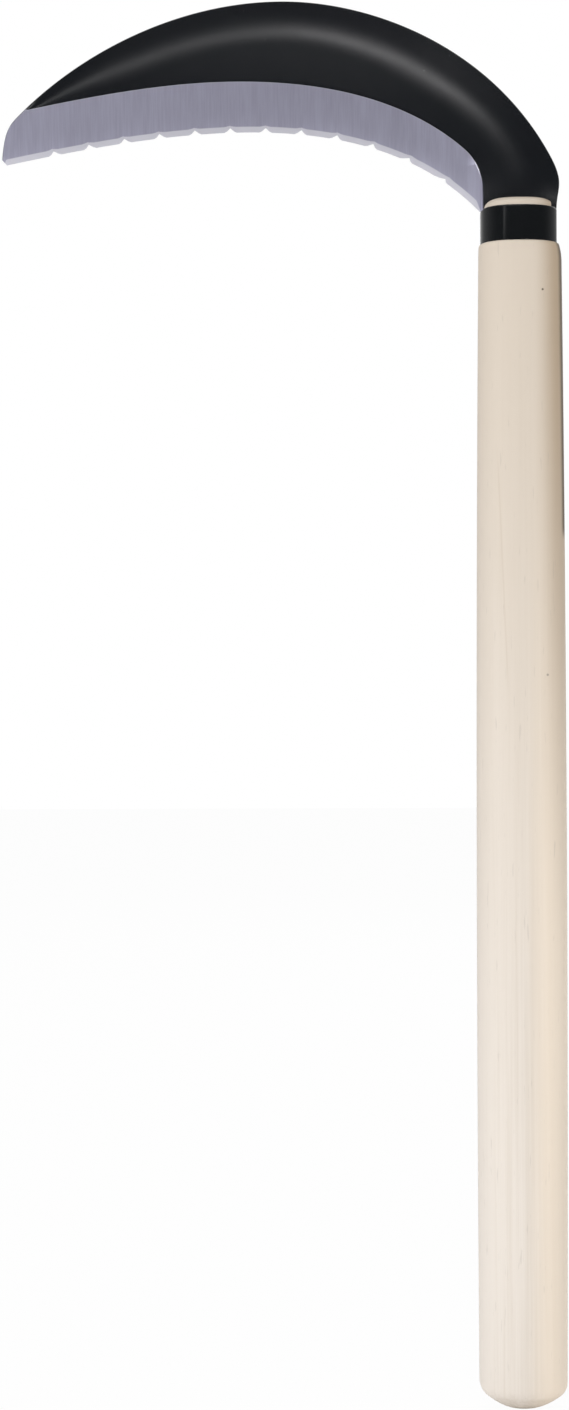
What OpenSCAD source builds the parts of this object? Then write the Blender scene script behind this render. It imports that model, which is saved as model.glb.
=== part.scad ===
// Weeding sickle: a forged crescent blade with a notched cutting edge, whose tang is let into
// a slotted wooden handle, bound by an oval ferrule and pinned by one nail.
// The tool stands on the handle's butt: +Z runs up the handle, the blade points to -X,
// and the ground bevel faces -Y. Blade heights are measured from the ferrule's upper rim.

/* [Cutting edge] */
// Sideways reach of the edge's tip from the handle's axis
tip_reach = 171; // [155:1:190]
// Height of the edge's tip above the ferrule
tip_rise = 16.1; // [8:0.1:22]
// Climb of the edge at its tip, in degrees from level
tip_angle = 12; // [6:0.5:18]
// How far the edge keeps the direction of its tip
tip_pull = 62.2; // [50:0.2:72]
// Sideways reach of the heel, where the edge ends on the ferrule
heel_reach = 13.2; // [12.9:0.1:15]
// Fall of the edge at its heel, in degrees from level
heel_angle = 45.9; // [38:0.1:54]
// How far the edge keeps the direction of its heel
heel_pull = 51.2; // [42:0.1:60]

/* [Back of the blade] */
// Sideways reach of the back's highest point
crest_reach = 79; // [70:1:88]
// Height of the back's highest point above the ferrule
crest_rise = 70.2; // [64:0.2:78]
// How far the back stays level towards the tip
crest_pull_tip = 35.6; // [28:0.2:42]
// How far the back stays level towards the neck
crest_pull_neck = 28.9; // [22:0.1:36]
// How far the back keeps its slope above the blunt end
back_pull_tip = 29.3; // [22:0.1:36]
// How far the back keeps its slope above the shoulder
back_pull_neck = 42.4; // [34:0.2:50]
// Height of the blunt end at the tip
nose_h = 15.3; // [12:0.1:18]
// Height of the blunt end's foot above the edge's tip
nose_foot_rise = 1.7; // [1:0.1:3]
// Rounding of the blunt end, as how far it keeps the back's slope
nose_pull = 3.8; // [2.5:0.1:5]
// Overhang of the blunt end past the edge's tip
nose_overhang = 1.5; // [0.5:0.1:3]
// How far the back's foot at the tip lies inside the edge's tip
nose_inset = 3; // [2:0.1:6]
// Slope of the back where it reaches the blunt end, in degrees
nose_angle = 46.1; // [38:0.1:54]
// Sideways reach of the shoulder, past the axis, where the back turns down
shoulder_reach = 10.3; // [9:0.1:11]
// Height of the shoulder above the ferrule
shoulder_rise = 18.4; // [15:0.1:22]
// Fall of the back at the shoulder, in degrees
shoulder_angle = 61.7; // [54:0.1:68]
// How far the back keeps its slope below the shoulder
shoulder_pull = 10.8; // [7:0.1:12]
// How far the back stays upright above the ferrule
neck_pull = 7.5; // [4:0.1:9]
// Sideways reach of the neck's back, past the axis, at the ferrule
neck_back = 12.2; // [11.6:0.1:12.5]
// Sideways reach of the neck's front, where the grinding stops
neck_front = 12.2; // [11.8:0.1:12.4]

/* [Sections of the blade] */
// Thickness along the crown and at the neck
crown_t = 2.4; // [2:0.1:2.4]
// Thickness along the back
back_t = 1.9; // [1.5:0.1:2.2]
// Thickness where the lacquer meets the bevel
border_t = 2.1; // [1.7:0.1:2.3]
// Share of the thickness that is left at the tip
tip_thinning = 0.7; // [0.55:0.05:1]
// Place of the crown between back and bevel, as a share
crown_place = 0.45; // [0.3:0.05:0.6]
// Chamfer along the back
back_chamfer = 0.3; // [0.1:0.05:0.5]
// Bevel width towards the tip
bevel_tip_w = 16.9; // [12:0.1:20]
// Bevel width towards the heel
bevel_heel_w = 15.3; // [11:0.1:18]
// Rounding of the bevel's inner corner at the neck
bevel_corner = 6; // [3:0.5:9]
// Width of the ramp at the bevel's border
ramp_w = 0.4; // [0.2:0.05:0.6]
// Width of the honed strip along the edge
hone_w = 2.4; // [1.9:0.1:3.2]
// Thickness where the honed strip begins
hone_t = 0.65; // [0.4:0.05:0.9]
// Thickness of the keen edge
edge_t = 0.12; // [0.08:0.02:0.3]

/* [Notches] */
// Number of notches along the edge
notch_count = 12; // [6:1:13]
// Spacing of the notches
notch_pitch = 11.7; // [8:0.1:12]
// Sideways reach of the notch nearest the heel
notch_first = 26.1; // [22:0.1:30]
// Half width of a notch at the edge
notch_half_w = 2.1; // [1.4:0.1:2.6]
// Depth of a notch
notch_depth = 1.5; // [0.8:0.1:1.8]
// Half width of the notch's steep middle
notch_throat = 1.2; // [0.8:0.1:1.3]
// Depth of the eased corners beside the steep middle
notch_ease = 0.4; // [0.2:0.05:0.6]

/* [Tang] */
// Thickness of the tang
tang_t = 2.2; // [1.8:0.1:2.2]
// Length of the tang below the ferrule's upper rim
tang_len = 95; // [70:1:100]
// Width of the tang at its end
tang_end_w = 5; // [3:0.5:8]
// Clearance of the tang inside the ferrule, on each side
tang_gap = 0.45; // [0.3:0.05:0.6]

/* [Handle] */
// Length of the wood from the butt to the end of its tenon
handle_len = 401.5; // [350:0.5:420]
// Width at the belly
belly_w = 29.8; // [28.6:0.1:33]
// Height of the belly above the butt
belly_z = 150; // [80:5:200]
// Width at the butt
butt_w = 29; // [27:0.1:32]
// Width below the ferrule
top_w = 27.4; // [27:0.1:30]
// Thickness from front to back, over the width
handle_flatness = 0.8; // [0.78:0.01:0.9]
// Squareness of the oval section, 2 for an ellipse
squareness = 2.5; // [2:0.1:3]
// Width of the flat on which the butt stands
butt_flat = 8; // [4:0.5:14]
// Rise of the butt's dome from the flat to its rim
butt_dome = 4.6; // [2:0.1:6]
// Rounding of the butt's rim
butt_round = 5; // [1.5:0.1:6]
// Drop over which the shoulder under the ferrule is eased
shoulder_ease = 5; // [2:0.5:8]
// Depth of that easing
shoulder_cut = 0.4; // [0.2:0.05:0.7]
// Height of the tenon's round end above the ferrule
tenon_proud = 3.2; // [1.5:0.1:3.6]
// Wood pared off the tenon's end on the back side
tenon_paring = 1.6; // [0.5:0.1:2.5]

/* [Saw slot] */
// Width of the slot
slot_w = 2.6; // [2.5:0.05:2.8]
// Length of the slot's mouth below the ferrule, on the back side of the handle
slot_len = 97; // [84:1:110]
// Clearance between the tang's slanting side and the slot's floor
slot_gap = 0.4; // [0.2:0.05:1]

/* [Ferrule] */
// Width over the ferrule
ferrule_w = 25.5; // [25.3:0.1:26.2]
// Thickness of the ferrule from front to back
ferrule_d = 21; // [20:0.1:21.2]
// Height of the ferrule
ferrule_h = 11.8; // [8:0.1:16]
// Wall of the ferrule
ferrule_wall = 0.9; // [0.6:0.05:1]
// Offset of the ferrule and the tenon from the handle's axis, towards the blade
ferrule_offset = 0.35; // [0:0.05:0.6]
// Rounding of the ferrule's upper rim
rim_round = 0.6; // [0.2:0.05:0.6]
// Clearance between the tenon and the ferrule
tenon_gap = 0.1; // [0.05:0.01:0.2]

/* [Nail] */
// Diameter of the nail
nail_d = 2.6; // [2:0.1:3.2]
// Drop of the nail below the ferrule
nail_drop = 15; // [10:0.5:22]
// Wood left in front of the nail's point
nail_cover = 2; // [1:0.1:4]
// Diameter of the nail's head
nail_head_d = 5; // [4:0.1:6]
// Thickness of the nail's head
nail_head_t = 0.9; // [0.6:0.05:1.2]
// Length of the nail's point
nail_point = 3; // [2:0.5:5]
// Clearance round the nail where it passes the tang
nail_gap = 0.1; // [0.05:0.01:0.3]

/* [Hidden] */

// Points round each oval section
RING = 48;
// Gap that keeps pieces which seat on each other from merging
SEAT = 0.1;
// Overlap of solids that are joined into one piece
LAP = 3;
// Reach of a cut past the solid that it opens
CLEAR = 10;

ferrule_top = handle_len - tenon_proud;
shoulder_z = ferrule_top - ferrule_h;
tenon_w = ferrule_w - 2 * (ferrule_wall + tenon_gap);
tenon_d = ferrule_d - 2 * (ferrule_wall + tenon_gap);
tenon_x = -ferrule_offset;
tang_left = tenon_x - ferrule_w / 2 + ferrule_wall + tang_gap;
tang_right = tenon_x + ferrule_w / 2 - ferrule_wall - tang_gap;
nail_z = shoulder_z - nail_drop;

// Shares of the blade's length at which the back's curves join
U_NOSE = 0.05;
U_CREST = 0.5;
U_SHOULDER = 0.88;
// Shares between which the bevel narrows, and from which the neck goes flat
U_BEVEL_WIDE = 0.3;
U_BEVEL_NARROW = 0.85;
U_NECK_FLAT = 0.86;
// Lean of the blunt end's foot, in degrees from level
NOSE_LEAN = 86;
// Shares of the lacquered face at which a section has its points, beside the crown
NEAR_BACK = 0.2;
NEAR_BEVEL = 0.75;

function lerp(a, b, t) = a + (b - a) * t;
function clamp01(t) = min(1, max(0, t));
function smooth(a, b, t) = let (s = clamp01((t - a) / (b - a))) s * s * (3 - 2 * s);
function heading(a) = [cos(a), sin(a)];
function cubic(c, t) =
    pow(1 - t, 3) * c[0] + 3 * pow(1 - t, 2) * t * c[1] + 3 * (1 - t) * t * t * c[2] + pow(t, 3) * c[3];
// Lesser of two values, with the corner between them rounded over k
function rounded_min(a, b, k) = let (h = max(k - abs(a - b), 0) / k) min(a, b) - h * h * k / 4;

// Curves of the blade's outline, as start, two pulls and end, in reach and height
tip = [-tip_reach, tip_rise];
heel = [-heel_reach, SEAT];
crest = [-crest_reach, crest_rise];
nose_foot = tip + [-nose_overhang, nose_foot_rise];
nose_top = tip + [nose_inset, nose_h];
shoulder = [shoulder_reach, shoulder_rise];
neck = [neck_back, SEAT];

edge_curve = [tip, tip + tip_pull * heading(tip_angle), heel - heel_pull * heading(-heel_angle), heel];
nose_curve = [nose_foot, nose_foot + 2 * nose_pull * heading(NOSE_LEAN), nose_top - nose_pull * heading(nose_angle), nose_top];
tip_back_curve = [nose_top, nose_top + back_pull_tip * heading(nose_angle), crest - [crest_pull_tip, 0], crest];
neck_back_curve = [crest, crest + [crest_pull_neck, 0], shoulder - back_pull_neck * heading(-shoulder_angle), shoulder];
shoulder_curve = [shoulder, shoulder + shoulder_pull * heading(-shoulder_angle), neck + [0, neck_pull], neck];

function edge_at(u) = cubic(edge_curve, u);
function back_at(u) =
    u < U_NOSE ? cubic(nose_curve, u / U_NOSE)
    : u < U_CREST ? cubic(tip_back_curve, (u - U_NOSE) / (U_CREST - U_NOSE))
    : u < U_SHOULDER ? cubic(neck_back_curve, (u - U_CREST) / (U_SHOULDER - U_CREST))
    : cubic(shoulder_curve, (u - U_SHOULDER) / (1 - U_SHOULDER));
function edge_heading(u) = let (v = edge_at(min(u + 0.001, 1)) - edge_at(max(u - 0.001, 0))) v / norm(v);

// Place along the edge that lies at a given sideways reach, found by halving
function edge_place(reach, lo = 0, hi = 1, steps = 18) =
    steps == 0 ? (lo + hi) / 2
    : let (mid = (lo + hi) / 2)
      -edge_at(mid)[0] > reach ? edge_place(reach, mid, hi, steps - 1)
      : edge_place(reach, lo, mid, steps - 1);

// Depth of the notches at a place along the edge
notches = [for (i = [0 : notch_count - 1]) notch_first + i * notch_pitch];
function notch_at(reach) =
    let (off = min([for (n = notches) abs(reach - n)]))
    off < notch_throat ? lerp(notch_depth, notch_ease, off / notch_throat)
    : off < notch_half_w ? lerp(notch_ease, 0, (off - notch_throat) / (notch_half_w - notch_throat))
    : 0;

// Places of the blade's sections: at the corners of each notch, between notches, and closely at both ends
TIP_SECTIONS = 9;
HEEL_SECTIONS = 14;
first_place = edge_place(notches[notch_count - 1] + notch_pitch / 2);
last_place = edge_place(notch_first - notch_pitch / 3);
notch_offsets = [-notch_pitch / 2, -notch_half_w, -notch_throat, 0, notch_throat, notch_half_w];
places = concat(
    [for (i = [0 : TIP_SECTIONS - 1]) first_place * pow(i / TIP_SECTIONS, 1.3)],
    [for (i = [notch_count - 1 : -1 : 0]) for (k = notch_offsets) edge_place(notches[i] - k)],
    [for (i = [0 : HEEL_SECTIONS]) lerp(last_place, 1, i / HEEL_SECTIONS)]
);

// Blade section at one place: points as distance from the edge and height above the flat rear face
function section(u) =
    let (
        e = edge_at(u),
        b = back_at(u),
        len = norm(b - e),
        across = (b - e) / len,
        along = edge_heading(u),
        skew = abs(along[0] * across[1] - along[1] * across[0]),
        hone = hone_w / skew,
        bevel = lerp(bevel_tip_w, bevel_heel_w, smooth(U_BEVEL_WIDE, U_BEVEL_NARROW, u)),
        stop = across[0] > 0.05 ? (-neck_front - e[0]) / across[0] : 10 * bevel,
        thin = lerp(tip_thinning, 1, smooth(0, U_BEVEL_NARROW, u)),
        flat = smooth(U_NECK_FLAT, 1, u),
        notch = notch_at(-e[0]),
        lacquer_t = function (f) lerp(thin * (f < crown_place
            ? crown_t - (crown_t - back_t) * pow(1 - f / crown_place, 2)
            : crown_t - (crown_t - border_t) * pow((f - crown_place) / (1 - crown_place), 2)), crown_t, flat),
        ground_t = function (q) q < hone
            ? lerp(edge_t, hone_t, q / hone)
            : lerp(hone_t, lacquer_t(1), (q - hone) / (bevel - hone)),
        narrow = len < bevel + 2 * back_chamfer,
        back_h = narrow ? min(lacquer_t(0), ground_t(len)) : lacquer_t(0),
        chamfer = min(back_chamfer, 0.3 * back_h),
        border = narrow ? len - 2 * chamfer : rounded_min(bevel, stop, bevel_corner),
        ramp = border - min(ramp_w, border / 4),
        strip = min(hone, 0.8 * ramp),
        front_h = function (f) let (q = lerp(len - chamfer, border, f))
            narrow ? min(lacquer_t(f), ground_t(q)) : lacquer_t(f)
    )
    concat(
        [[notch, 0], [len - chamfer, 0], [len, chamfer], [len, back_h - chamfer]],
        [for (f = [0, NEAR_BACK, crown_place, NEAR_BEVEL, 1]) [lerp(len - chamfer, border, f), front_h(f)]],
        [[ramp, ground_t(ramp)], [strip, ground_t(strip)], [notch, ground_t(notch)]]
    );

// The same section in space
function section_ring(u) =
    let (e = edge_at(u), b = back_at(u), across = (b - e) / norm(b - e))
    [for (p = section(u)) let (at = e + p[0] * across) [at[0], crown_t / 2 - p[1], ferrule_top + at[1]]];

// Oval ring at a height, from its width, thickness and centre
function oval(w, d, x, z) =
    [for (i = [0 : RING - 1]) let (a = 360 * i / RING, c = cos(a), s = sin(a))
        [x + w / 2 * sign(c) * pow(abs(c), 2 / squareness), d / 2 * sign(s) * pow(abs(s), 2 / squareness), z]];

// Solid through rings of equal count, closed at both ends. Rings run so that their faces look outwards
// when each ring turns left, seen from the side that the next ring lies on.
module loft(rings) {
    n = len(rings[0]);
    last = len(rings) - 1;
    sides = [for (r = [0 : last - 1]) for (i = [0 : n - 1]) let (j = (i + 1) % n)
        each [[r * n + i, (r + 1) * n + i, (r + 1) * n + j], [r * n + i, (r + 1) * n + j, r * n + j]]];
    ends = [[for (i = [0 : n - 1]) i], [for (i = [n - 1 : -1 : 0]) last * n + i]];
    polyhedron(points = [for (ring = rings) each ring], faces = concat(sides, ends), convexity = 10);
}

// Flat outline in reach and height above the ferrule, with a thickness centred on the blade's plane
module plate(outline, t) {
    translate([0, t / 2, ferrule_top])
        rotate([90, 0, 0])
            linear_extrude(t) polygon(outline);
}

// Handle width at a height, swelling to the belly
function handle_w(z) =
    z < belly_z ? lerp(belly_w, butt_w, pow((belly_z - z) / belly_z, 2))
    : lerp(belly_w, top_w, pow((z - belly_z) / (shoulder_z - belly_z), 2));

// Bore along Y at the nail's place
module nail_bore(r, y_from, y_to) {
    translate([0, y_from, nail_z])
        rotate([-90, 0, 0])
            cylinder(r = r, h = y_to - y_from, $fn = 32);
}

nail_back = handle_w(nail_z) * handle_flatness / 2;
nail_tip = -nail_back + nail_cover;

module blade() {
    tang = [
        [tang_left, LAP],
        [tang_left, -ferrule_h],
        [tang_right - tang_end_w, -tang_len],
        [tang_right - tang_end_w / 4, -tang_len],
        [tang_right, -tang_len + tang_end_w],
        [tang_right, LAP]
    ];
    color([0.12, 0.13, 0.15])
    difference() {
        union() {
            loft([for (u = places) section_ring(u)]);
            plate(tang, tang_t);
        }
        nail_bore(nail_d / 2 + nail_gap, -CLEAR, CLEAR);
    }
}

// Ring of the handle at a height, drawn in all round, shrunk by a share and moved sideways
function body_ring(z, inset, share = 1, x = 0) =
    oval(share * (handle_w(z) - 2 * inset), share * (handle_w(z) * handle_flatness - 2 * inset), x, z);

// Butt: a small flat, a shallow dome out to the rim, and a rim rounded into the sides
flat_share = butt_flat / butt_w;
rim_slope = atan(4 * butt_dome / (1 - flat_share * flat_share) / butt_w);
rim_inset = butt_round * (1 - sin(rim_slope));
butt_top = butt_dome + butt_round * cos(rim_slope);
BUTT_STEPS = 5;
dome_rings = [for (i = [0 : BUTT_STEPS])
    let (share = lerp(flat_share, 1, i / BUTT_STEPS))
    body_ring(butt_dome * (share * share - flat_share * flat_share) / (1 - flat_share * flat_share), rim_inset, share)];
rim_rings = [for (i = [1 : BUTT_STEPS])
    let (a = lerp(rim_slope, 90, i / BUTT_STEPS))
    body_ring(butt_top - butt_round * cos(a), butt_round * (1 - sin(a)))];
// Body up to the shoulder, which is eased towards the ferrule
BODY_STEPS = 14;
body_rings = [for (i = [1 : BODY_STEPS])
    body_ring(lerp(butt_top, shoulder_z - shoulder_ease, i / BODY_STEPS), 0)];
shoulder_rings = [for (s = [0.4, 0.7, 0.9, 1])
    body_ring(shoulder_z - shoulder_ease * (1 - s), shoulder_cut * s * s, 1, tenon_x * s * s)];
// Tenon rings, ending in a round-over as high as the tenon stands out
tenon_rings = concat(
    [oval(tenon_w, tenon_d, tenon_x, shoulder_z)],
    [for (a = [0 : 18 : 90]) let (in = 2 * tenon_proud * (1 - cos(a)))
        oval(tenon_w - in, tenon_d - in, tenon_x, ferrule_top + tenon_proud * sin(a))]
);

module handle() {
    mouth = belly_w;
    slot = [
        [-mouth, CLEAR],
        [-mouth, -ferrule_h],
        [tang_left - slot_gap, -ferrule_h],
        [tang_right - tang_end_w - slot_gap, -tang_len - slot_gap],
        [tang_right, -tang_len - slot_gap],
        [handle_w(shoulder_z - slot_len) / 2, -ferrule_h - slot_len],
        [mouth, -ferrule_h - slot_len],
        [mouth, CLEAR]
    ];
    pared_x = tenon_x + tenon_w / 2 - tenon_paring;
    paring = [[pared_x, -rim_round], [mouth, -rim_round], [mouth, CLEAR], [pared_x, CLEAR]];
    color([0.87, 0.80, 0.70])
    difference() {
        loft(concat(dome_rings, rim_rings, body_rings, shoulder_rings, tenon_rings));
        plate(slot, slot_w);
        plate(paring, belly_w);
        nail_bore(nail_d / 2, nail_tip, nail_back + CLEAR);
        nail_bore(nail_head_d / 2 + SEAT, nail_back - nail_head_t, nail_back + CLEAR);
    }
}

module ferrule() {
    foot = shoulder_z + SEAT;
    in = 2 * ferrule_wall;
    steps = [0 : 30 : 90];
    color([0.10, 0.10, 0.11])
    difference() {
        loft(concat(
            [oval(ferrule_w, ferrule_d, tenon_x, foot)],
            [for (a = steps) let (cut = 2 * rim_round * (1 - cos(a)))
                oval(ferrule_w - cut, ferrule_d - cut, tenon_x, ferrule_top - rim_round * (1 - sin(a)))]
        ));
        loft([for (z = [foot - CLEAR, ferrule_top + CLEAR]) oval(ferrule_w - in, ferrule_d - in, tenon_x, z)]);
    }
}

module tang_nail() {
    shank = nail_back - nail_head_t - nail_tip;
    color([0.45, 0.44, 0.42])
    translate([0, nail_back, nail_z])
        rotate([90, 0, 0]) {
            cylinder(d = nail_head_d, h = nail_head_t, $fn = 32);
            cylinder(d = nail_d, h = nail_head_t + shank - nail_point, $fn = 32);
            translate([0, 0, nail_head_t + shank - nail_point])
                cylinder(d1 = nail_d, d2 = nail_d / 4, h = nail_point - SEAT, $fn = 32);
        }
}

blade();
handle();
ferrule();
tang_nail();
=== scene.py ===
"""Weeding sickle: a lacquered crescent blade with a ground, notched edge in an oval wooden handle."""
import math

import bpy
from mathutils import Matrix, Vector


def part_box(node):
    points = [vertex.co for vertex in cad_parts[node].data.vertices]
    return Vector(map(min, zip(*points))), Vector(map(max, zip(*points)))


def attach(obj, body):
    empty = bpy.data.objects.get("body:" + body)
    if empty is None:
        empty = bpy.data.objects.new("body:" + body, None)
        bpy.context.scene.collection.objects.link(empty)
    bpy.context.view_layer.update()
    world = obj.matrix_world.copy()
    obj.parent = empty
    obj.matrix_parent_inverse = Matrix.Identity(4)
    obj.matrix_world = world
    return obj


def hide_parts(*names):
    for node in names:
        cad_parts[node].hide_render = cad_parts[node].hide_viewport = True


bl_info = {
    "name": "Weeding Sickle",
    "version": (1, 0, 0),
    "blender": (4, 5, 0),
    "location": "View3D > Sidebar > Sickle",
    "description": "Builds a weeding sickle around its packed frame",
    "category": "Object",
}

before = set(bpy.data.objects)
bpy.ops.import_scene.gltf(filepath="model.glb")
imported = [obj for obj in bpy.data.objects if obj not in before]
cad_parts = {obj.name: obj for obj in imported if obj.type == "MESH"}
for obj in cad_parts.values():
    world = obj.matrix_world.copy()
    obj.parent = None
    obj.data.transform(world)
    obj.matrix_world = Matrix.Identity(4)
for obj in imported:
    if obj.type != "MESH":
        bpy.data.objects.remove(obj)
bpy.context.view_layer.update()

# Metres in a millimetre
MM = 0.001

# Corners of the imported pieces' boxes, in millimetres
HANDLE_HIGH = Vector(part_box("handle")[1]) / MM
FERRULE_LOW, FERRULE_HIGH = (Vector(corner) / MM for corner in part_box("ferrule"))

# Heights above the ferrule's upper rim, in millimetres, of the lofted blade's foot and of the
# tang's cut end
SEAT, TANG_CUT = 0.1, 0.05

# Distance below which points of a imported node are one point, in metres
MERGE = 1e-6

# The reference view: its height in pixels, its scale on the blade's plane, and the sensor in millimetres
VIEW_HEIGHT, PIXELS_PER_MM, SENSOR = 1410, 3.0, 36.0


def length(name, description, default):
    """A size in millimetres that a user can change."""
    return bpy.props.FloatProperty(name=name, description=description, default=default, precision=3)


def factor(name, description, default):
    """A share of a whole that a user can change."""
    return bpy.props.FloatProperty(
        name=name, description=description, default=default, min=0.0, max=1.0, subtype="FACTOR")


def angle(name, description, degrees):
    """An angle that a user can change, given in degrees."""
    return bpy.props.FloatProperty(
        name=name, description=description, default=math.radians(degrees), subtype="ANGLE")


def colour(name, description, srgb):
    """A colour that a user can change, given as display values from 0 to 255."""
    linear = [to_linear(value) for value in srgb]
    return bpy.props.FloatVectorProperty(
        name=name, description=description, default=linear, subtype="COLOR", size=3, min=0.0, max=1.0)


def to_linear(value):
    """Linear light of a display value from 0 to 255."""
    light = value / 255
    return light / 12.92 if light <= 0.04045 else ((light + 0.055) / 1.055) ** 2.4


class SickleBladeSettings(bpy.types.PropertyGroup):
    """Outline, sections and finish of the blade. Heights are measured from the ferrule's upper rim."""
    tip_reach: length("Tip reach", "Sideways reach of the edge's tip", 171.0)
    tip_rise: length("Tip rise", "Height of the edge's tip", 16.1)
    tip_angle: angle("Tip angle", "Climb of the edge at its tip", 12.0)
    tip_pull: length("Tip pull", "How far the edge keeps the direction of its tip", 62.2)
    heel_reach: length("Heel reach", "Sideways reach of the heel", 13.2)
    heel_angle: angle("Heel angle", "Fall of the edge at its heel", 45.9)
    heel_pull: length("Heel pull", "How far the edge keeps the direction of its heel", 51.2)
    crest_reach: length("Crest reach", "Sideways reach of the back's highest point", 79.0)
    crest_rise: length("Crest rise", "Height of the back's highest point", 70.2)
    crest_pull_tip: length("Crest pull to tip", "How far the back stays level towards the tip", 35.6)
    crest_pull_neck: length("Crest pull to neck", "How far the back stays level towards the neck", 28.9)
    back_pull_tip: length("Back pull at tip", "How far the back keeps its slope above the blunt end", 29.3)
    back_pull_neck: length("Back pull at neck", "How far the back keeps its slope above the shoulder", 42.4)
    nose_h: length("Nose height", "Height of the blunt end at the tip", 15.3)
    nose_foot_rise: length("Nose foot", "Height of the blunt end's foot above the tip", 1.7)
    nose_pull: length("Nose pull", "How far the blunt end keeps the back's slope", 3.8)
    nose_overhang: length("Nose overhang", "Overhang of the blunt end past the tip", 1.5)
    nose_inset: length("Nose inset", "How far the back's foot lies inside the tip", 3.0)
    nose_angle: angle("Nose angle", "Slope of the back where it reaches the blunt end", 46.1)
    nose_lean: angle("Nose lean", "Lean of the blunt end's foot", 86.0)
    shoulder_reach: length("Shoulder reach", "Reach of the shoulder past the axis", 10.3)
    shoulder_rise: length("Shoulder rise", "Height of the shoulder", 18.4)
    shoulder_angle: angle("Shoulder angle", "Fall of the back at the shoulder", 61.7)
    shoulder_pull: length("Shoulder pull", "How far the back keeps its slope below the shoulder", 10.8)
    neck_pull: length("Neck pull", "How far the back stays upright above the ferrule", 7.5)
    neck_back: length("Neck back", "Reach of the neck's back past the axis", 12.2)
    neck_front: length("Neck front", "Reach of the neck's front, where the grinding stops", 12.2)
    neck_t: length("Neck thickness", "Thickness at the neck", 2.4)
    crown_t: length("Crown thickness", "Thickness along the ridge", 2.7)
    back_t: length("Back thickness", "Thickness along the back", 1.6)
    border_t: length("Border thickness", "Thickness where the lacquer meets the bevel", 2.2)
    tip_thinning: factor("Tip thinning", "Share of the thickness that is left at the tip", 0.7)
    ridge_inset_tip: length("Ridge inset at tip", "Distance of the ridge from the back, tip half", 9.0)
    ridge_inset_neck: length("Ridge inset at neck", "Distance of the ridge from the back, neck half", 14.0)
    ridge_round: length("Ridge rounding", "Half width of the ridge's rounding", 5.5)
    back_chamfer: length("Back chamfer", "Chamfer along the back", 0.3)
    bevel_tip_w: length("Bevel at tip", "Bevel width towards the tip", 16.9)
    bevel_heel_w: length("Bevel at heel", "Bevel width towards the heel", 15.3)
    bevel_corner: length("Bevel corner", "Rounding of the bevel's inner corner", 6.0)
    ramp_w: length("Ramp width", "Width of the ramp at the bevel's border", 0.4)
    hone_w: length("Hone width", "Width of the honed strip", 2.4)
    rear_hone_w: length("Rear hone width", "Width of the honed line on the rear face", 0.7)
    hone_t: length("Hone thickness", "Thickness where the honed strip begins", 0.65)
    edge_t: length("Edge thickness", "Thickness of the keen edge", 0.12)
    notch_count: bpy.props.IntProperty(name="Notches", description="Number of notches", default=12)
    notch_pitch: length("Notch pitch", "Spacing of the notches", 11.7)
    notch_first: length("First notch", "Reach of the notch nearest the heel", 26.1)
    notch_half_w: length("Notch half width", "Half width of a notch at the edge", 2.1)
    notch_depth: length("Notch depth", "Depth of a notch", 1.5)
    notch_throat: length("Notch throat", "Half width of the notch's steep middle", 1.2)
    notch_ease: length("Notch ease", "Depth of the eased corners", 0.4)
    lacquer: colour("Lacquer", "Colour of the black lacquer", (10, 13, 18))
    bevel_steel: colour("Bevel steel", "Colour of the ground bevel", (161, 160, 178))
    honed_steel: colour("Honed steel", "Colour of the honed strip", (202, 201, 210))


class SickleHandleSettings(bpy.types.PropertyGroup):
    """Slot and finish of the wooden handle, and finish of the ferrule and the nail."""
    slot_w: length("Slot width", "Width of the saw slot", 2.6)
    slot_len: length("Slot length", "Length of the slot's mouth below the ferrule", 97.0)
    wood: colour("Wood", "Colour of the wood's face", (238, 229, 219))
    # Also the colour of the painted shade towards the handle's upper end
    streaks_and_top_shade: colour("Wood streaks", "Colour of the wood's darker streaks", (213, 200, 184))
    wood_warm: colour("Warm wood", "Colour of the wood's slot side, lower down", (246, 230, 210))
    # Also the colour of the painted shade on the slot side, and of the faint scratch
    tan_and_side_shade: colour("Tan wood", "Colour of the wood's slot side, higher up", (176, 152, 122))
    # Colour of the pin knot and the small dent, and of the painted shade along the saw slot
    marks_and_slot_shade: colour("Slot stain", "Colour of the wood along the saw slot", (66, 52, 34))
    ferrule_lacquer: colour("Ferrule lacquer", "Colour of the ferrule's gloss black", (16, 18, 20))
    nail_steel: colour("Nail steel", "Colour of the nail", (120, 118, 112))


class SickleStageSettings(bpy.types.PropertyGroup):
    """Place of the camera."""
    distance: length("Camera distance", "Distance of the camera from the blade's plane", 690.0)
    camera_x: length("Camera side", "Sideways place of the camera", -78.9)
    camera_z: length("Camera height", "Height of the camera above the butt", 233.96)
    lean: angle("Lean", "Lean of the tool in the view", 0.1873)


def lerp(a, b, share):
    """Value between two values."""
    return a + (b - a) * share


def smooth(low, high, value):
    """Value mapped to 0..1 between two limits, eased."""
    share = min(1.0, max(0.0, (value - low) / (high - low)))
    return share * share * (3 - 2 * share)


def heading(turn):
    """Unit vector at an angle above the level."""
    return Vector((math.cos(turn), math.sin(turn)))


def cubic(points, t):
    """Point of a cubic curve with two ends and two handles."""
    return ((1 - t) ** 3 * points[0] + 3 * (1 - t) ** 2 * t * points[1]
            + 3 * (1 - t) * t * t * points[2] + t ** 3 * points[3])


def rounded_min(a, b, radius):
    """Lesser of two values, with the corner between them rounded."""
    near = max(radius - abs(a - b), 0) / radius
    return min(a, b) - near * near * radius / 4


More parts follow.
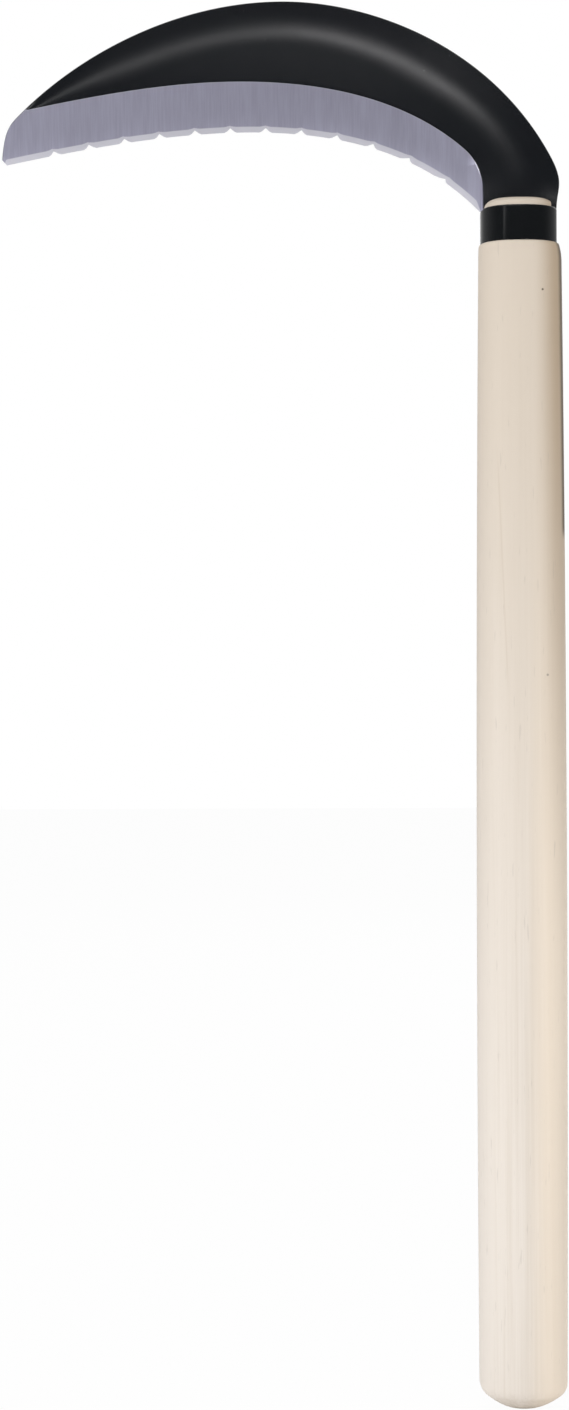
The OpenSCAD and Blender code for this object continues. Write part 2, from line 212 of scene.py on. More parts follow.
class BladeForm:
    """Outline and sections of the blade, worked out from its settings."""
    # Shares of the length at which the back's curves join, the bevel narrows and the neck goes flat
    NOSE_END, CREST, SHOULDER = 0.05, 0.5, 0.88
    BEVEL_WIDE, BEVEL_NARROW, NECK_FLAT = 0.3, 0.85, 0.9
    # Shares of the length between which the ridge rises, and between which it moves in from the back
    RIDGE_RISE, RIDGE_MOVE = (0.02, 0.22), (0.5, 0.85)
    # Even sections along the blade, their least distance from a notch's corner as a share of the
    # length, and the shares at which more sections stand close to the blunt end and the neck
    SECTIONS, CORNER_GAP = 260, 0.0012
    CLOSE = (0.0008, 0.0018, 0.003, 0.0055, 0.997, 0.9985)
    # Steps across the lacquered face, and places of the bevel's points as shares of its width
    FACE_STEPS, BEVEL_SHARES = 32, (1.0, 0.66, 0.33, 0.0)
    # Least width of the lacquered face, and width over which the rear face goes from honed to
    # lacquered, in millimetres
    FACE_LEAST, REAR_STEP = 1.0, 0.1
    # Greatest shares that the ridge's inset takes of the face, its rounding of the inset, the
    # chamfer of the back's thickness, the ramp of the bevel, the honed strip of the ground face
    # and the honed line of the rear face
    INSET_MOST, ROUND_MOST, CHAMFER_MOST, RAMP_MOST, HONE_MOST, REAR_MOST = 0.5, 0.8, 0.3, 0.25, 0.8, 0.25
    # Sideways slope above which a section reaches the line where the grinding stops
    SLOPE_LEAST = 0.05
    # Step for the edge's direction, and halvings that find a place along the edge
    STEP, HALVINGS = 0.001, 24
    # Zones of the section's points, kept in an attribute for the material
    LACQUER, BEVEL, HONE = 0.0, 0.5, 1.0

    def __init__(self, s):
        self.s = s
        tip, heel = Vector((-s.tip_reach, s.tip_rise)), Vector((-s.heel_reach, SEAT))
        crest = Vector((-s.crest_reach, s.crest_rise))
        shoulder, neck = Vector((s.shoulder_reach, s.shoulder_rise)), Vector((s.neck_back, SEAT))
        foot = tip + Vector((-s.nose_overhang, s.nose_foot_rise))
        nose_top = tip + Vector((s.nose_inset, s.nose_h))
        fall = heading(-s.shoulder_angle)
        self.edge_curve = [tip, tip + s.tip_pull * heading(s.tip_angle),
                           heel - s.heel_pull * heading(-s.heel_angle), heel]
        self.back_curves = [
            (0.0, self.NOSE_END, [foot, foot + 2 * s.nose_pull * heading(s.nose_lean),
                                  nose_top - s.nose_pull * heading(s.nose_angle), nose_top]),
            (self.NOSE_END, self.CREST, [nose_top, nose_top + s.back_pull_tip * heading(s.nose_angle),
                                         crest - Vector((s.crest_pull_tip, 0)), crest]),
            (self.CREST, self.SHOULDER, [crest, crest + Vector((s.crest_pull_neck, 0)),
                                         shoulder - s.back_pull_neck * fall, shoulder]),
            (self.SHOULDER, 1.0, [shoulder, shoulder + s.shoulder_pull * fall,
                                  neck + Vector((0, s.neck_pull)), neck]),
        ]
        self.notches = [s.notch_first + i * s.notch_pitch for i in range(s.notch_count)]

    def edge_at(self, u):
        """Point of the edge, from the tip at 0 to the heel at 1."""
        return cubic(self.edge_curve, u)

    def back_at(self, u):
        """Point of the back, from the blunt end at 0 to the neck at 1."""
        for start, end, curve in self.back_curves:
            if u <= end:
                return cubic(curve, (u - start) / (end - start))
        return self.back_curves[-1][2][3]

    def edge_heading(self, u):
        """Direction of the edge."""
        return (self.edge_at(min(u + self.STEP, 1)) - self.edge_at(max(u - self.STEP, 0))).normalized()

    def edge_place(self, reach):
        """Place along the edge that lies at a sideways reach, found by halving."""
        low, high = 0.0, 1.0
        for _ in range(self.HALVINGS):
            middle = (low + high) / 2
            if -self.edge_at(middle).x > reach:
                low = middle
            else:
                high = middle
        return (low + high) / 2

    def notch_at(self, reach):
        """How deep the notches cut in at a sideways reach."""
        s = self.s
        off = min(abs(reach - notch) for notch in self.notches)
        if off < s.notch_throat:
            return lerp(s.notch_depth, s.notch_ease, off / s.notch_throat)
        if off < s.notch_half_w:
            return lerp(s.notch_ease, 0, (off - s.notch_throat) / (s.notch_half_w - s.notch_throat))
        return 0.0

    def places(self):
        """Places of the sections: evenly along the blade, and at the corners of each notch."""
        s = self.s
        offsets = (-s.notch_half_w, -s.notch_throat, 0, s.notch_throat, s.notch_half_w)
        corners = [self.edge_place(notch - off) for notch in self.notches for off in offsets]
        even = [i / self.SECTIONS for i in range(self.SECTIONS + 1)]
        clear = [u for u in even if all(abs(u - corner) > self.CORNER_GAP for corner in corners)]
        return sorted({*clear, *corners, *self.CLOSE})

    def section(self, u):
        """Points of one section as (distance from the edge, height above the rear face, zone)."""
        s = self.s
        edge, back = self.edge_at(u), self.back_at(u)
        span = (back - edge).length
        across = (back - edge) / span
        along = self.edge_heading(u)
        skew = abs(along.x * across.y - along.y * across.x)
        hone = s.hone_w / skew
        bevel = lerp(s.bevel_tip_w, s.bevel_heel_w, smooth(self.BEVEL_WIDE, self.BEVEL_NARROW, u))
        stop = (-s.neck_front - edge.x) / across.x if across.x > self.SLOPE_LEAST else math.inf
        thin = lerp(s.tip_thinning, 1, smooth(0, self.BEVEL_NARROW, u))
        flat = smooth(self.NECK_FLAT, 1, u)
        notch = self.notch_at(-edge.x)

        face = max(span - min(bevel, stop), self.FACE_LEAST)
        inset = lerp(s.ridge_inset_tip, s.ridge_inset_neck, smooth(*self.RIDGE_MOVE, u))
        inset = min(inset, self.INSET_MOST * face)
        ridge_round = min(s.ridge_round, self.ROUND_MOST * inset)
        level = lerp(s.back_t, s.border_t, inset / face)
        crown = lerp(level, s.crown_t, smooth(*self.RIDGE_RISE, u))
        rise, fall = (crown - s.back_t) / inset, (crown - s.border_t) / (face - inset)

        def lacquer_t(share):
            """Two flat flanks that meet in a rounded ridge along the back."""
            past = share * face - inset
            near = max(ridge_round - abs(past), 0) / ridge_round
            height = crown + min(rise * past, -fall * past) - near * near * ridge_round * (rise + fall) / 4
            return lerp(thin * height, s.neck_t, flat)

        def ground_t(reach):
            """The honed strip and the bevel, each rising evenly away from the edge."""
            if reach < hone:
                return lerp(s.edge_t, s.hone_t, reach / hone)
            return lerp(s.hone_t, lacquer_t(1), (reach - hone) / (bevel - hone))

        # Towards the tip the blade is too narrow for a lacquered face beside the bevel
        narrow = span < bevel + 2 * s.back_chamfer
        back_h = min(lacquer_t(0), ground_t(span)) if narrow else lacquer_t(0)
        chamfer = min(s.back_chamfer, self.CHAMFER_MOST * back_h)
        border = span - 2 * chamfer if narrow else rounded_min(bevel, stop, s.bevel_corner)
        ramp = border - min(s.ramp_w, self.RAMP_MOST * border)
        strip = min(hone, self.HONE_MOST * ramp)

        def front_h(share):
            """Height of the face between the back and the bevel's border."""
            reach = lerp(span - chamfer, border, share)
            return min(lacquer_t(share), ground_t(reach)) if narrow else lacquer_t(share)

        face_zone = self.BEVEL if narrow else self.LACQUER
        rear_line = notch + min(s.rear_hone_w, self.REAR_MOST * span)
        points = [(notch, 0.0, self.HONE), (rear_line, 0.0, self.HONE),
                  (rear_line + self.REAR_STEP, 0.0, self.LACQUER), (span - chamfer, 0.0, self.LACQUER),
                  (span, chamfer, self.LACQUER), (span, back_h - chamfer, self.LACQUER)]
        for i in range(self.FACE_STEPS + 1):
            share = i / self.FACE_STEPS
            points.append((lerp(span - chamfer, border, share), front_h(share), face_zone))
        for share in self.BEVEL_SHARES:
            reach = lerp(strip, ramp, share)
            points.append((reach, ground_t(reach), self.BEVEL))
        for reach in (lerp(strip, notch, 0.5), notch):
            points.append((reach, ground_t(reach), self.HONE))
        return points

    def ring(self, u, base):
        """One section's points in space, above a base height, each with its zone."""
        edge, back = self.edge_at(u), self.back_at(u)
        across = (back - edge).normalized()
        ring = []
        for reach, height, zone in self.section(u):
            at = edge + reach * across
            ring.append((Vector((at.x, self.s.neck_t / 2 - height, base + at.y)) * MM, zone))
        return ring


def deselect_all():
    """Clear the selection."""
    for other in list(bpy.context.selected_objects):
        other.select_set(False)


def make_active(piece):
    """Select one piece and make it the active one."""
    deselect_all()
    piece.select_set(True)
    bpy.context.view_layer.objects.active = piece


def edit_whole(piece, *steps):
    """Run mesh operators, each with its options, on the whole of a piece."""
    make_active(piece)
    bpy.ops.object.mode_set(mode="EDIT")
    bpy.ops.mesh.select_all(action="SELECT")
    for operator, options in steps:
        operator(**options)
    bpy.ops.object.mode_set(mode="OBJECT")


def loft(name, rings):
    """A closed mesh through rings of points with their zones, which it keeps in an attribute."""
    count, last = len(rings[0]), len(rings) - 1
    faces = []
    for r in range(last):
        for i in range(count):
            j = (i + 1) % count
            faces.append((r * count + i, (r + 1) * count + i, (r + 1) * count + j, r * count + j))
    faces.append(tuple(range(count)))
    faces.append(tuple(last * count + i for i in reversed(range(count))))
    mesh = bpy.data.meshes.new(name)
    mesh.from_pydata([point for ring in rings for point, _ in ring], [], faces)
    zones = mesh.attributes.new("zone", "FLOAT", "POINT")
    zones.data.foreach_set("value", [zone for ring in rings for _, zone in ring])
    mesh.update()
    piece = bpy.data.objects.new(name, mesh)
    bpy.context.scene.collection.objects.link(piece)
    edit_whole(piece, (bpy.ops.mesh.normals_make_consistent, {"inside": False}))
    return piece


def smooth_by_angle(piece, degrees):
    """Shade a piece smooth, but for edges sharper than an angle."""
    make_active(piece)
    bpy.ops.object.shade_smooth_by_angle(angle=math.radians(degrees))


def copy_of_node(name, node):
    """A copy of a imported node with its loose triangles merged, at the origin."""
    piece = bpy.data.objects.new(name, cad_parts[node].data.copy())
    bpy.context.scene.collection.objects.link(piece)
    piece.matrix_world = Matrix.Identity(4)
    edit_whole(piece, (bpy.ops.mesh.remove_doubles, {"threshold": MERGE}),
               (bpy.ops.mesh.tris_convert_to_quads, {}))
    return piece


def dress(piece, material):
    """Give a piece one material."""
    piece.data.materials.clear()
    piece.data.materials.append(material)


def settle(piece, material):
    """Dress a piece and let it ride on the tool's one body."""
    dress(piece, material)
    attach(piece, "root")


class Nodes:
    """Short calls for one node tree. A value is an output, a number, a vector or a colour."""

    def __init__(self, tree):
        self.tree = tree

    def add(self, kind, **settings):
        """A new node with its settings."""
        node = self.tree.nodes.new(kind)
        for key, value in settings.items():
            setattr(node, key, value)
        return node

    def feed(self, socket, value):
        """Link an output to a socket, or set the socket itself."""
        if isinstance(value, bpy.types.NodeSocket):
            self.tree.links.new(value, socket)
        elif isinstance(value, (int, float)) or socket.type == "VECTOR":
            socket.default_value = value
        else:
            socket.default_value = (*value, 1.0)

    def maths(self, operation, *values):
        """Result of an operation on one or two values."""
        node = self.add("ShaderNodeMath", operation=operation)
        for socket, value in zip(node.inputs, values):
            self.feed(socket, value)
        return node.outputs[0]

    def product(self, first, *others):
        """Product of two or more values."""
        for value in others:
            first = self.maths("MULTIPLY", first, value)
        return first

    def scaled(self, value, times, plus):
        """A value times one number, plus another."""
        return self.maths("ADD", self.maths("MULTIPLY", value, times), plus)

    def total(self, a, a_share, b, b_share):
        """Sum of two values, each times its share."""
        return self.maths("ADD", self.maths("MULTIPLY", a, a_share), self.maths("MULTIPLY", b, b_share))

    def mix(self, share, a, b):
        """Colour between two colours."""
        node = self.add("ShaderNodeMix", data_type="RGBA")
        for index, value in ((0, share), (6, a), (7, b)):
            self.feed(node.inputs[index], value)
        return node.outputs[2]

    def between(self, share, a, b):
        """Value between two values."""
        node = self.add("ShaderNodeMix", data_type="FLOAT")
        for index, value in ((0, share), (2, a), (3, b)):
            self.feed(node.inputs[index], value)
        return node.outputs[0]

    def rising(self, value, low, high):
        """Value mapped to 0..1 between two limits, eased."""
        node = self.add("ShaderNodeMapRange", interpolation_type="SMOOTHSTEP")
        for name, given in (("Value", value), ("From Min", low), ("From Max", high)):
            self.feed(node.inputs[name], given)
        return node.outputs["Result"]

    def falling(self, value, low, high):
        """Value mapped to 1..0 between two limits, eased."""
        return self.maths("SUBTRACT", 1.0, self.rising(value, low, high))

    def axes(self, place):
        """Sideways, forward and upward parts of a place, each as an output."""
        node = self.add("ShaderNodeSeparateXYZ")
        self.feed(node.inputs[0], place)
        return node.outputs

    def grain(self, place, name):
        """The shared grain with one of its sets of values."""
        node = self.add("ShaderNodeGroup", node_tree=grain_group())
        self.feed(node.inputs["Place"], place)
        for key, value in zip(("Stretch", "Scale", "Detail", "Roughness"), GRAINS[name]):
            self.feed(node.inputs[key], value)
        return node.outputs["Grain"]

    def bump(self, height, strength):
        """Normal of a surface that a height makes uneven."""
        node = self.add("ShaderNodeBump")
        for name, value in (("Height", height), ("Strength", strength), ("Distance", BUMP_DEPTH)):
            self.feed(node.inputs[name], value)
        return node.outputs["Normal"]


# Depth of a full bump, in metres
BUMP_DEPTH = 0.0001

# Stretch along the three axes, scale, detail and roughness of each grain
GRAINS = {
    "brush_lines": ((1.0, 0.2, 0.045), 1500.0, 2.0, 0.6),
    "brush_bands": ((1.0, 0.2, 0.08), 260.0, 2.0, 0.5),
    "lacquer_dust": ((1.0, 1.0, 1.0), 1400.0, 2.0, 0.5),
    "lacquer_cloud": ((1.0, 1.0, 1.0), 90.0, 3.0, 0.5),
    "lacquer_peel": ((1.0, 1.0, 1.0), 700.0, 2.0, 0.5),
    "wood_wander": ((1.0, 1.0, 0.02), 60.0, 2.0, 0.5),
    "wood_fibre": ((1.0, 1.0, 0.012), 900.0, 3.0, 0.6),
    "wood_pores": ((1.0, 1.0, 0.08), 1300.0, 2.0, 0.5),
    "ferrule_chips": ((1.0, 1.0, 1.0), 900.0, 3.0, 0.6),
    "ferrule_cloud": ((1.0, 1.0, 1.0), 300.0, 3.0, 0.5),
    "nail_lines": ((1.0, 0.1, 1.0), 1600.0, 3.0, 0.6),
}


def grain_group():
    """The grain that all the materials share: a noise that can be drawn out along an axis."""
    name = "drawn_grain"
    if name in bpy.data.node_groups:
        return bpy.data.node_groups[name]
    group = bpy.data.node_groups.new(name, "ShaderNodeTree")
    for socket, kind in (("Place", "NodeSocketVector"), ("Stretch", "NodeSocketVector"),
                         ("Scale", "NodeSocketFloat"), ("Detail", "NodeSocketFloat"),
                         ("Roughness", "NodeSocketFloat")):
        group.interface.new_socket(name=socket, in_out="INPUT", socket_type=kind)
    group.interface.new_socket(name="Grain", in_out="OUTPUT", socket_type="NodeSocketFloat")
    nodes = Nodes(group)
    given = nodes.add("NodeGroupInput").outputs
    drawn, noise = nodes.add("ShaderNodeMapping"), nodes.add("ShaderNodeTexNoise")
    nodes.feed(drawn.inputs["Vector"], given["Place"])
    nodes.feed(drawn.inputs["Scale"], given["Stretch"])
    nodes.feed(noise.inputs["Vector"], drawn.outputs["Vector"])
    for socket in ("Scale", "Detail", "Roughness"):
        nodes.feed(noise.inputs[socket], given[socket])
    nodes.feed(nodes.add("NodeGroupOutput").inputs["Grain"], noise.outputs["Fac"])
    return group


def new_material(name):
    """A new material, the short calls for its nodes, its shader and the place on the piece."""
    material = bpy.data.materials.new(name)
    material.use_nodes = True
    nodes = Nodes(material.node_tree)
    shader = material.node_tree.nodes["Principled BSDF"]
    return material, nodes, shader, nodes.add("ShaderNodeTexCoord").outputs["Object"]


def finish(nodes, shader, values):
    """Feed the shader's inputs by name."""
    for name, value in values.items():
        nodes.feed(shader.inputs[name], value)


def toned(paint, share):
    """A darker or lighter tone of a colour."""
    return tuple(min(1.0, value * share) for value in paint)


# Values of the zone between which lacquer gives way to steel and the bevel to the honed strip,
# and between which the bright line at the grinding's border comes and goes, with its strength
GROUND_ZONE, HONED_ZONE = (0.2, 0.3), (0.7, 0.8)
LINE_COMES, LINE_GOES, LINE_STRENGTH = (0.28, 0.34), (0.44, 0.49), 0.8
# Shares of the brushing's lines and bands, their limits, and the darker and lighter tone of the bevel
BRUSH_LINES, BRUSH_BANDS, BRUSH_LIMITS, BEVEL_TONES = 0.6, 0.4, (0.3, 0.7), (0.92, 1.07)
# Grain above which dust shows on the lacquer, its strength and its grey
DUST_LIMITS, DUST_STRENGTH, DUST_GREY = (0.79, 0.82), 0.5, (0.5, 0.5, 0.5)
# Variation and least value of the lacquer's and the steel's roughness
LACQUER_ROUGH, STEEL_ROUGH = (0.04, 0.17), (0.15, 0.34)
# Metallic share of the ground steel, share of the lacquer's peel in the bump, and the bump's strength
STEEL_METALLIC, PEEL_SHARE, BLADE_BUMP, LACQUER_IOR = 0.92, 0.25, 0.12, 1.5


def blade_material(s):
    """Black lacquer, a brushed bevel and a brighter honed strip, told apart by the zone attribute."""
    material, nodes, shader, place = new_material("blade_finish")
    zone = nodes.add("ShaderNodeAttribute", attribute_name="zone").outputs["Fac"]
    ground, honed = nodes.rising(zone, *GROUND_ZONE), nodes.rising(zone, *HONED_ZONE)
    line = nodes.product(nodes.rising(zone, *LINE_COMES), nodes.falling(zone, *LINE_GOES), LINE_STRENGTH)
    # The brushing runs from the back to the edge
    brushed = nodes.total(nodes.grain(place, "brush_lines"), BRUSH_LINES,
                          nodes.grain(place, "brush_bands"), BRUSH_BANDS)
    dark, light = (toned(s.bevel_steel, tone) for tone in BEVEL_TONES)
    steel = nodes.mix(nodes.rising(brushed, *BRUSH_LIMITS), dark, light)
    steel = nodes.mix(honed, steel, s.honed_steel)
    steel = nodes.mix(line, steel, s.honed_steel)
    dust = nodes.rising(nodes.grain(place, "lacquer_dust"), *DUST_LIMITS)
    lacquer = nodes.mix(nodes.product(dust, DUST_STRENGTH), s.lacquer, DUST_GREY)
    peel = nodes.product(nodes.grain(place, "lacquer_peel"), PEEL_SHARE)
    height = nodes.maths("ADD", nodes.product(brushed, ground), peel)
    finish(nodes, shader, {
        "Base Color": nodes.mix(ground, lacquer, steel),
        "Metallic": nodes.product(ground, STEEL_METALLIC),
        "Roughness": nodes.between(ground, nodes.scaled(nodes.grain(place, "lacquer_cloud"), *LACQUER_ROUGH),
                                   nodes.scaled(brushed, *STEEL_ROUGH)),
        "Normal": nodes.bump(height, BLADE_BUMP),
        "IOR": LACQUER_IOR,
    })
    return material


# Shares of the wood's broad wander and fine fibre in its streaks, their limits and their strength
WANDER_SHARE, FIBRE_SHARE, STREAK_LIMITS, STREAK_STRENGTH = 0.65, 0.35, (0.42, 0.68), 0.55
# Height above which painted shade darkens the wood towards its upper end, and the strength of that painted
# shade
TOP_SHADING_FOOT, TOP_SHADING_STRENGTH = 20.0, 0.95
# Painted shade on the slot side, partly the wood's own brown: where it sets in sideways and upwards, its
# gain on the way up and its least value
FLANK_SHADE_ASIDE, FLANK_SHADE_UP, FLANK_SHADE_SHARE = (3.0, 11.5), (120.0, 380.0), (0.75, 0.02)
# Warmth of the slot side below the painted flank shade: where it sets in sideways, and its strength
WARM_ASIDE, WARM_STRENGTH = (-1.0, 9.0), 0.8
# Grain above which a pore shows, the strength of the pores and their tone
PORE_LIMITS, PORE_STRENGTH, PORE_TONE = (0.66, 0.74), 0.18, 0.55
# Place on the handle's front, radius and strength of the pin knot and of the small dent, and the
# share of the radius that has the full colour
MARKS, MARK_CORE = (((6.3, 370.2), 0.5, 0.9), ((7.5, 243.6), 0.55, 0.45)), 0.4
# The faint scratch on the front: foot, head, half width, strength, and length of its fading ends
SCRATCH_FOOT, SCRATCH_HEAD = (-5.4, 235.3), (-8.8, 320.5)
SCRATCH_HALF, SCRATCH_STRENGTH, SCRATCH_FADE = 0.45, 0.14, 15.0
# Painted shade along the slot: width of the dark lip, limits of the paler band, share of each, strength,
# how far it wavers, where it sets in sideways, and how it ends below and above
LIP_WIDTH, BAND_EDGE, LIP_SHARE, BAND_SHARE, SLOT_SHADING_STRENGTH = 2.5, (5.0, 7.0), 0.15, 0.85, 0.95
SLOT_SHADING_WAVER, SLOT_SHADING_ASIDE, SLOT_SHADING_FOOT, SLOT_SHADING_TOP = 1.5, (9.0, 11.0), (-2.0, 3.0), 0.4
# Variation and least value of the wood's roughness, and the strength of its bump
WOOD_ROUGH, WOOD_BUMP = (0.12, 0.5), 0.15


def mm(*values):
    """Sizes in millimetres turned into metres."""
    return [value * MM for value in values]


def mark_mask(nodes, axes, place, radius):
    """A round spot at a place on the handle's front, in millimetres."""
    aside = nodes.maths("SUBTRACT", axes["X"], place[0] * MM)
    above = nodes.maths("SUBTRACT", axes["Z"], place[1] * MM)
    apart = nodes.maths("SQRT", nodes.maths("ADD", nodes.product(aside, aside), nodes.product(above, above)))
    return nodes.falling(apart, *mm(MARK_CORE * radius, radius))


def scratch_mask(nodes, axes):
    """A thin line aslant on the handle's front, faded at both ends."""
    (foot_x, foot_z), (head_x, head_z) = SCRATCH_FOOT, SCRATCH_HEAD
    slant = (head_x - foot_x) / (head_z - foot_z)
    on_line = nodes.scaled(axes["Z"], slant, (foot_x - slant * foot_z) * MM)
    apart = nodes.maths("ABSOLUTE", nodes.maths("SUBTRACT", axes["X"], on_line))
    return nodes.product(nodes.falling(apart, *mm(0.0, SCRATCH_HALF)),
                         nodes.rising(axes["Z"], *mm(foot_z, foot_z + SCRATCH_FADE)),
                         nodes.falling(axes["Z"], *mm(head_z - SCRATCH_FADE, head_z)))


def slot_shade_mask(nodes, axes, s, wander):
    """Painted shade, for the shadow in the saw slot's gap, on its lips and the band beside them, from the
    slot's foot to the ferrule.
    """
    foot, half = FERRULE_LOW.z - s.slot_len, s.slot_w / 2
    away = nodes.maths("ADD", nodes.maths("ABSOLUTE", axes["Y"]), nodes.product(wander, SLOT_SHADING_WAVER * MM))
    lip = nodes.falling(away, *mm(half, half + LIP_WIDTH))
    band = nodes.falling(away, *mm(*(half + limit for limit in BAND_EDGE)))
    return nodes.product(nodes.total(lip, LIP_SHARE, band, BAND_SHARE),
                         nodes.rising(axes["X"], *mm(*SLOT_SHADING_ASIDE)),
                         nodes.rising(axes["Z"], *mm(*(foot + limit for limit in SLOT_SHADING_FOOT))),
                         nodes.falling(axes["Z"], *mm(FERRULE_LOW.z, FERRULE_LOW.z + SLOT_SHADING_TOP)),
                         SLOT_SHADING_STRENGTH)


def wood_material(s):
    """Pale smooth wood with faint long grain, with painted shade towards its upper end, on the slot side and
    along the saw slot.
    """
    material, nodes, shader, place = new_material("handle_wood")
    axes = nodes.axes(place)
    wander, fibre = nodes.grain(place, "wood_wander"), nodes.grain(place, "wood_fibre")
    streak = nodes.rising(nodes.total(wander, WANDER_SHARE, fibre, FIBRE_SHARE), *STREAK_LIMITS)
    # Painted shade, darker towards the handle's upper end
    top_shading = nodes.rising(axes["Z"], *mm(TOP_SHADING_FOOT, HANDLE_HIGH.z))
    upper = nodes.rising(axes["Z"], *mm(*FLANK_SHADE_UP))
    # Painted shade on the slot side, stronger higher up, partly the wood's own brown
    flank_shading = nodes.product(nodes.rising(axes["X"], *mm(*FLANK_SHADE_ASIDE)), nodes.scaled(upper, *FLANK_SHADE_SHARE))
    warm = nodes.product(nodes.rising(axes["X"], *mm(*WARM_ASIDE)), WARM_STRENGTH,
                         nodes.maths("SUBTRACT", 1.0, upper))
    pores = nodes.rising(nodes.grain(place, "wood_pores"), *PORE_LIMITS)
    front = nodes.maths("LESS_THAN", axes["Y"], 0.0)
    layers = [(nodes.product(streak, STREAK_STRENGTH), s.streaks_and_top_shade),
              # Painted shade towards the upper end
              (nodes.product(top_shading, TOP_SHADING_STRENGTH), s.streaks_and_top_shade),
              (warm, s.wood_warm),
              # Painted shade on the slot side
              (flank_shading, s.tan_and_side_shade),
              (nodes.product(pores, PORE_STRENGTH), toned(s.streaks_and_top_shade, PORE_TONE))]
    for spot, radius, strength in MARKS:
        layers.append((nodes.product(mark_mask(nodes, axes, spot, radius), front, strength), s.marks_and_slot_shade))
    layers.append((nodes.product(scratch_mask(nodes, axes), front, SCRATCH_STRENGTH), s.tan_and_side_shade))
    # Painted shade along the saw slot
    layers.append((slot_shade_mask(nodes, axes, s, wander), s.marks_and_slot_shade))
    wood = s.wood
    for mask, paint in layers:
        wood = nodes.mix(mask, wood, paint)
    finish(nodes, shader, {
        "Base Color": wood,
        "Roughness": nodes.scaled(fibre, *WOOD_ROUGH),
        "Normal": nodes.bump(fibre, WOOD_BUMP),
    })
    return material


# Chips of the ferrule's lower rim: their height, the grain above which they show, and their colour
CHIP_HEIGHT, CHIP_LIMITS, CHIP_GREY = 0.7, (0.6, 0.66), (0.22, 0.21, 0.2)
# Variation and least value of the ferrule's roughness, the strength of its bump, and its index
FERRULE_ROUGH, FERRULE_BUMP, FERRULE_IOR = (0.06, 0.1), 0.02, 1.35


def ferrule_material(s):
    """Gloss black lacquer over steel, chipped here and there along the lower rim."""
    material, nodes, shader, place = new_material("ferrule_lacquer")
    low_rim = nodes.falling(nodes.axes(place)["Z"], *mm(FERRULE_LOW.z, FERRULE_LOW.z + CHIP_HEIGHT))
    chips = nodes.product(nodes.rising(nodes.grain(place, "ferrule_chips"), *CHIP_LIMITS), low_rim)
    cloud = nodes.grain(place, "ferrule_cloud")
    finish(nodes, shader, {
        "Base Color": nodes.mix(chips, s.ferrule_lacquer, CHIP_GREY),
        "Roughness": nodes.scaled(cloud, *FERRULE_ROUGH),
        "Normal": nodes.bump(cloud, FERRULE_BUMP),
        "IOR": FERRULE_IOR,
    })
    return material


# Darker and lighter tone of the nail, variation and least value of its roughness, metallic share
NAIL_TONES, NAIL_ROUGH, NAIL_METALLIC = (0.7, 1.25), (0.25, 0.3), 0.9


def nail_material(s):
    """Plain drawn steel with fine lines along the nail."""
    material, nodes, shader, place = new_material("nail_steel")
    lines = nodes.grain(place, "nail_lines")
    dark, light = (toned(s.nail_steel, tone) for tone in NAIL_TONES)
    finish(nodes, shader, {
        "Base Color": nodes.mix(lines, dark, light),
        "Roughness": nodes.scaled(lines, *NAIL_ROUGH),
        "Metallic": NAIL_METALLIC,
    })
    return material


class SICKLE_OT_blade(bpy.types.Operator):
    """Loft the lacquered blade with its bevel, honed strip and notches"""
    bl_idname = "sickle.blade"
    bl_label = "Blade"

    def execute(self, context):
        settings = context.scene.sickle_blade
        form, base, material = BladeForm(settings), FERRULE_HIGH.z, blade_material(settings)
        piece = loft("blade_forged", [form.ring(u, base) for u in form.places()])
        smooth_by_angle(piece, degrees=14)
        tang = copy_of_node("blade_tang", "blade")
        edit_whole(tang, (bpy.ops.mesh.bisect, {
            "plane_co": (0, 0, (base + TANG_CUT) * MM), "plane_no": (0, 0, 1),
            "clear_outer": True, "use_fill": True}))
        smooth_by_angle(tang, degrees=30)
        settle(piece, material)
        settle(tang, material)
        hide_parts("blade")
        return {"FINISHED"}


class SICKLE_OT_handle(bpy.types.Operator):
    """Dress the wooden handle"""
    bl_idname = "sickle.handle"
    bl_label = "Handle"

    def execute(self, context):
        piece = copy_of_node("handle_body", "handle")
        smooth_by_angle(piece, degrees=22)
        settle(piece, wood_material(context.scene.sickle_handle))
        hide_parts("handle")
        return {"FINISHED"}


class SICKLE_OT_ferrule(bpy.types.Operator):
    """Dress the oval ferrule"""
    bl_idname = "sickle.ferrule"
    bl_label = "Ferrule"

    def execute(self, context):
        piece = copy_of_node("ferrule_ring", "ferrule")
        smooth_by_angle(piece, degrees=40)
        # The wall keeps its own normals, so that its rounded rims don't bend the gloss
        weighted = piece.modifiers.new("wall_normals", "WEIGHTED_NORMAL")
        weighted.keep_sharp = True
        weighted.weight = 100
        bpy.ops.object.modifier_apply(modifier=weighted.name)
        settle(piece, ferrule_material(context.scene.sickle_handle))
        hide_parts("ferrule")
        return {"FINISHED"}


class SICKLE_OT_nail(bpy.types.Operator):
    """Dress the nail that pins the tang"""
    bl_idname = "sickle.nail"
    bl_label = "Nail"

    def execute(self, context):
        piece = copy_of_node("nail_shank", "tang_nail")
        smooth_by_angle(piece, degrees=40)
        settle(piece, nail_material(context.scene.sickle_handle))
        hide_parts("tang_nail")
        return {"FINISHED"}


def set_axes(item, place, right, up, back):
    """Stand a lamp or camera at a place, turned by its three axes."""
    item.matrix_world = Matrix.Translation(place) @ Matrix((right, up, back)).transposed().to_4x4()


def area_lamp(name, width, height, power):
    """A rectangular lamp in the scene, with its size in metres and its power in watts."""
    light = bpy.data.lights.new(name, "AREA")
    light.shape = "RECTANGLE"
    light.size, light.size_y, light.energy = width, height, power
    lamp = bpy.data.objects.new(name, light)
    bpy.context.scene.collection.objects.link(lamp)
    return lamp


